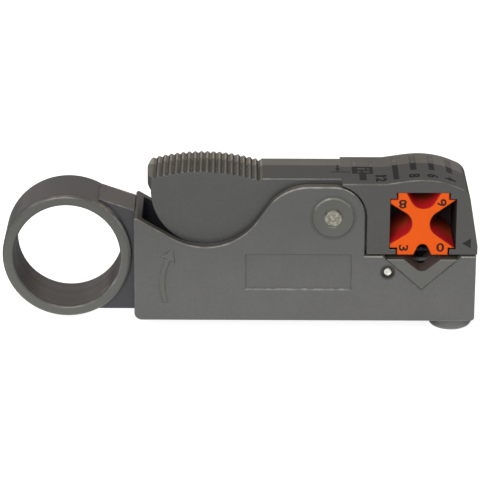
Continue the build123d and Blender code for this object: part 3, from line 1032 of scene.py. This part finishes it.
class STRIPPER_OT_mouldings(bpy.types.Operator):
    """Give the body, lever, cartridge, cassette and knob their plastics"""

    bl_idname = "stripper.mouldings"
    bl_label = "Mouldings"

    def execute(self, context):
        finish = context.scene.stripper_finish
        body = moulding(
            "Body Plastic",
            finish.body_grey,
            0.06,
            (0.42, 0.52),
            0.25,
            (well_shade, web_shade, wall_top_shade, ring_shade, boss_shade, seam_shade),
            coated=True,
            edge_light=3.2,
            top_tint=TOP_BROWN,
            top_fade=0.34,
        )
        lever = moulding(
            "Lever Plastic",
            finish.lever_grey,
            0.08,
            (0.45, 0.56),
            0.3,
            (rib_shade, pad_edge_shade, jaw_shade, pocket_shade),
            coated=True,
            edge_light=3.2,
            top_tint=TOP_BROWN,
            rear_band=1.95,
        )
        # The knob's grey is lighter, as painted light where the body shades it
        knob = moulding("Knob Plastic", finish.knob_grey, 0.06, (0.42, 0.52), 0.25, coated=True)
        cartridge = moulding(
            "Cartridge Plastic",
            finish.cartridge_grey,
            0.05,
            (0.42, 0.5),
            0.25,
            (cartridge_shade,),
            edge_light=0.5,
            top_tint=CARTRIDGE_TOP,
        )
        cassette = moulding(
            "Cassette Plastic",
            finish.cassette_orange,
            0.04,
            (0.4, 0.5),
            0.15,
            (groove_shade,),
            specular=0.15,
        )
        dress(knob, "key_knob")
        dress(body, "body")
        dress(lever, "thumb_lever")
        dress(cartridge, "blade_cartridge")
        dress(cassette, "v_block_cassette")
        return {"FINISHED"}


class STRIPPER_OT_steels(bpy.types.Operator):
    """Give the pins, blades, screws and key their steels"""

    bl_idname = "stripper.steels"
    bl_label = "Steels"

    def execute(self, context):
        for name, bright, dark, scale, depth, nodes in (
            ("Peened Steel", (0.33, 0.325, 0.266), (0.115, 0.111, 0.088), 2300.0, 0.9, PIVOT_PINS),
            ("Bright Pin Steel", (0.8, 0.78, 0.73), (0.25, 0.24, 0.22), 1500.0, 0.6, CROSS_PINS),
            # The blades' steel is nearly black, as painted shade inside the cable channel
            ("Ground Blade Steel", (0.05, 0.051, 0.056), (0.02, 0.02, 0.022), 700.0, 0.2, BLADES),
            ("Blackened Steel", (0.06, 0.06, 0.06), (0.02, 0.02, 0.02), 900.0, 0.3, BLACK_PARTS),
        ):
            dress(steel(name, bright, dark, scale, depth), *nodes)
        return {"FINISHED"}


class STRIPPER_OT_return_spring(bpy.types.Operator):
    """Wind the return spring"""

    bl_idname = "stripper.return_spring"
    bl_label = "Return Spring"

    def execute(self, context):
        coil = context.scene.stripper_spring
        low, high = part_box("return_spring")
        centre = (low + high) / 2
        height = high.z - low.z - 2 * coil.wire
        steps = SPRING_STEPS * coil.coils
        form = bmesh.new()
        start = Matrix.Translation((high.x - coil.wire, centre.y, low.z + coil.wire))
        upright = Matrix.Rotation(math.radians(90), 4, "X")
        wire = bmesh.ops.create_circle(
            form, segments=8, radius=coil.wire, matrix=start @ upright, cap_ends=True
        )
        bmesh.ops.spin(
            form,
            geom=wire["verts"] + form.edges[:] + form.faces[:],
            cent=centre,
            axis=(0, 0, 1),
            dvec=(0, 0, height / steps),
            angle=math.tau * coil.coils,
            steps=steps,
        )
        bmesh.ops.holes_fill(form, edges=[edge for edge in form.edges if edge.is_boundary])
        bmesh.ops.recalc_face_normals(form, faces=form.faces[:])
        for face in form.faces:
            face.smooth = len(face.verts) == 4
        metal = steel("Spring Wire", (0.35, 0.35, 0.34), (0.14, 0.14, 0.14), 1200.0, 0.2)
        piece = new_piece("coil_spring", form, "housing", metal)
        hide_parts("return_spring")
        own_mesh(piece)
        return {"FINISHED"}


class STRIPPER_OT_strip_scale(bpy.types.Operator):
    """Print the scale of strip lengths on top of the jaw"""

    bl_idname = "stripper.strip_scale"
    bl_label = "Strip Scale"

    def execute(self, context):
        prints = context.scene.stripper_print
        form = bmesh.new()
        for low, high in STRIP_BARS:
            add_bar(form, low, high)
        for text, x, y, stretch in SCALE_NUMBERS:
            add_number(form, text, prints.scale_number, (x * MM, y * MM), -90.0, stretch, 0.025)
        add_triangle(form, (20.75, -0.45), 0.6, 0.0, 2.2)
        lay_on_top(form, "thumb_lever")
        bmesh.ops.translate(form, vec=(0, 0, 0.2 * prints.ink_height), verts=form.verts[:])
        raise_ink(form, Vector((0, 0, 1)), prints.ink_height)
        ink = ink_material("Printing Ink", context.scene.stripper_finish.ink, INK_ON_REAR)
        new_piece("strip_scale", form, "lever", ink)
        return {"FINISHED"}


class STRIPPER_OT_front_prints(bpy.types.Operator):
    """Print the cassette's numbers and the pointer beside it"""

    bl_idname = "stripper.front_prints"
    bl_label = "Front Prints"

    def execute(self, context):
        finish = context.scene.stripper_finish
        prints = context.scene.stripper_print
        forward = Vector((0, -1, 0))
        low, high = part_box("v_block_cassette")
        centre = (low + high) / 2
        numbers = bmesh.new()
        for text, x, z, turn in CASSETTE_NUMBERS:
            place = (centre.x + x * MM, centre.z + z * MM)
            add_number(numbers, text, prints.cassette_number, place, turn, 1.3, 0.02)
        stand_up(numbers, low.y)
        raise_ink(numbers, forward, prints.ink_height)
        ink = ink_material("Number Ink", finish.number_ink, 0.0)
        new_piece("cassette_numbers", numbers, "cassette", ink)
        pointer = bmesh.new()
        add_triangle(pointer, (48.15, 21.85), 1.25, math.radians(-90))
        stand_up(pointer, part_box("thumb_lever")[0].y)
        raise_ink(pointer, forward, prints.ink_height)
        ink = ink_material("Printing Ink", finish.ink, INK_ON_REAR)
        new_piece("pointer", pointer, "lever", ink)
        return {"FINISHED"}


class STRIPPER_OT_stage(bpy.types.Operator):
    """Set the floor, the lights and the camera"""

    bl_idname = "stripper.stage"
    bl_label = "Stage"

    def execute(self, context):
        stage = context.scene.stripper_stage
        self.floor(context)
        self.world(context)
        self.lamp(context, FRONT_LAMP, stage.front_light)
        self.lamp(context, TOP_LAMP, stage.top_light)
        self.camera(context, stage)
        context.scene.view_settings.view_transform = "Standard"
        return {"FINISHED"}

    def floor(self, context):
        """A pale floor that is white to the camera and in reflections, and keeps the shadow."""
        form = bmesh.new()
        bmesh.ops.create_grid(form, x_segments=1, y_segments=1, size=FLOOR_WIDTH)
        mesh = finished(form, "floor")
        floor = bpy.data.objects.new("floor", mesh)
        context.scene.collection.objects.link(floor)
        material, tree, shader = fresh_material("Pale Floor")
        shader.inputs["Base Color"].default_value = (FLOOR_GREY, FLOOR_GREY, FLOOR_GREY, 1.0)
        shader.inputs["Roughness"].default_value = 1.0
        shader.inputs["Specular IOR Level"].default_value = 0.0
        shader.inputs["Emission Color"].default_value = (1.0, 1.0, 1.0, 1.0)
        rays = tree.nodes.new("ShaderNodeLightPath").outputs
        seen = math_of(tree, "MAXIMUM", rays["Is Camera Ray"], rays["Is Glossy Ray"])
        seen = math_of(tree, "MAXIMUM", seen, rays["Is Transmission Ray"])
        tree.links.new(product(tree, seen, FLOOR_GLOW), shader.inputs["Emission Strength"])
        mesh.materials.append(material)

    def world(self, context):
        """Plain white light from all around."""
        world = bpy.data.worlds.new("Studio")
        world.use_nodes = True
        background = world.node_tree.nodes["Background"]
        background.inputs["Color"].default_value = (1.0, 1.0, 1.0, 1.0)
        background.inputs["Strength"].default_value = WORLD_STRENGTH
        context.scene.world = world

    def lamp(self, context, lamp, power):
        """A square soft box aimed at the tool."""
        name, place, width, colour = lamp
        light = bpy.data.lights.new(name, "AREA")
        light.shape = "SQUARE"
        light.size = width
        light.energy = power
        light.color = colour
        box = bpy.data.objects.new(name, light)
        box.location = place
        aim = LAMPS_AIM - Vector(place)
        box.rotation_euler = aim.to_track_quat("-Z", "Y").to_euler()
        context.scene.collection.objects.link(box)

    def camera(self, context, stage):
        """The camera at the photograph's angle."""
        lens = bpy.data.cameras.new("camera")
        lens.lens = stage.focal_length
        lens.sensor_width = SENSOR_WIDTH
        lens.clip_start = 0.01
        camera = bpy.data.objects.new("camera", lens)
        aim = Vector((stage.aim_across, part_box("thumb_lever")[0].y, stage.aim_height))
        lift = stage.camera_elevation
        away = Vector((0, -math.cos(lift), math.sin(lift)))
        camera.location = aim + away * stage.camera_distance
        roll = Quaternion((0, 0, 1), stage.camera_roll)
        camera.rotation_euler = ((-away).to_track_quat("-Z", "Y") @ roll).to_euler()
        context.scene.collection.objects.link(camera)
        context.scene.camera = camera


class STRIPPER_PT_panel(bpy.types.Panel):
    """Finishes, prints and studio of the cable stripper"""

    bl_idname = "STRIPPER_PT_panel"
    bl_label = "Cable Stripper"
    bl_space_type = "VIEW_3D"
    bl_region_type = "UI"
    bl_category = "Stripper"

    def draw(self, context):
        layout = self.layout
        for settings in SETTINGS:
            group = getattr(context.scene, settings)
            for name in group.bl_rna.properties.keys():
                if name not in ("rna_type", "name"):
                    layout.prop(group, name)
        for operator in OPERATORS:
            layout.operator(operator.bl_idname)


SETTINGS = {
    "stripper_finish": StripperFinishSettings,
    "stripper_print": StripperPrintSettings,
    "stripper_spring": StripperSpringSettings,
    "stripper_stage": StripperStageSettings,
}
OPERATORS = (
    STRIPPER_OT_mouldings,
    STRIPPER_OT_steels,
    STRIPPER_OT_return_spring,
    STRIPPER_OT_strip_scale,
    STRIPPER_OT_front_prints,
    STRIPPER_OT_stage,
)


def register():
    """Register the settings, the operators and the panel."""
    for name, settings in SETTINGS.items():
        bpy.utils.register_class(settings)
        setattr(bpy.types.Scene, name, PointerProperty(type=settings))
    for operator in OPERATORS:
        bpy.utils.register_class(operator)
    bpy.utils.register_class(STRIPPER_PT_panel)


def unregister():
    """Take out what register put in."""
    bpy.utils.unregister_class(STRIPPER_PT_panel)
    for operator in reversed(OPERATORS):
        bpy.utils.unregister_class(operator)
    for name, settings in SETTINGS.items():
        delattr(bpy.types.Scene, name)
        bpy.utils.unregister_class(settings)


def main():
    """Register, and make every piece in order."""
    register()
    bpy.ops.stripper.mouldings()
    bpy.ops.stripper.steels()
    bpy.ops.stripper.return_spring()
    bpy.ops.stripper.strip_scale()
    bpy.ops.stripper.front_prints()
    bpy.ops.stripper.stage()


if __name__ == "__main__":
    main()
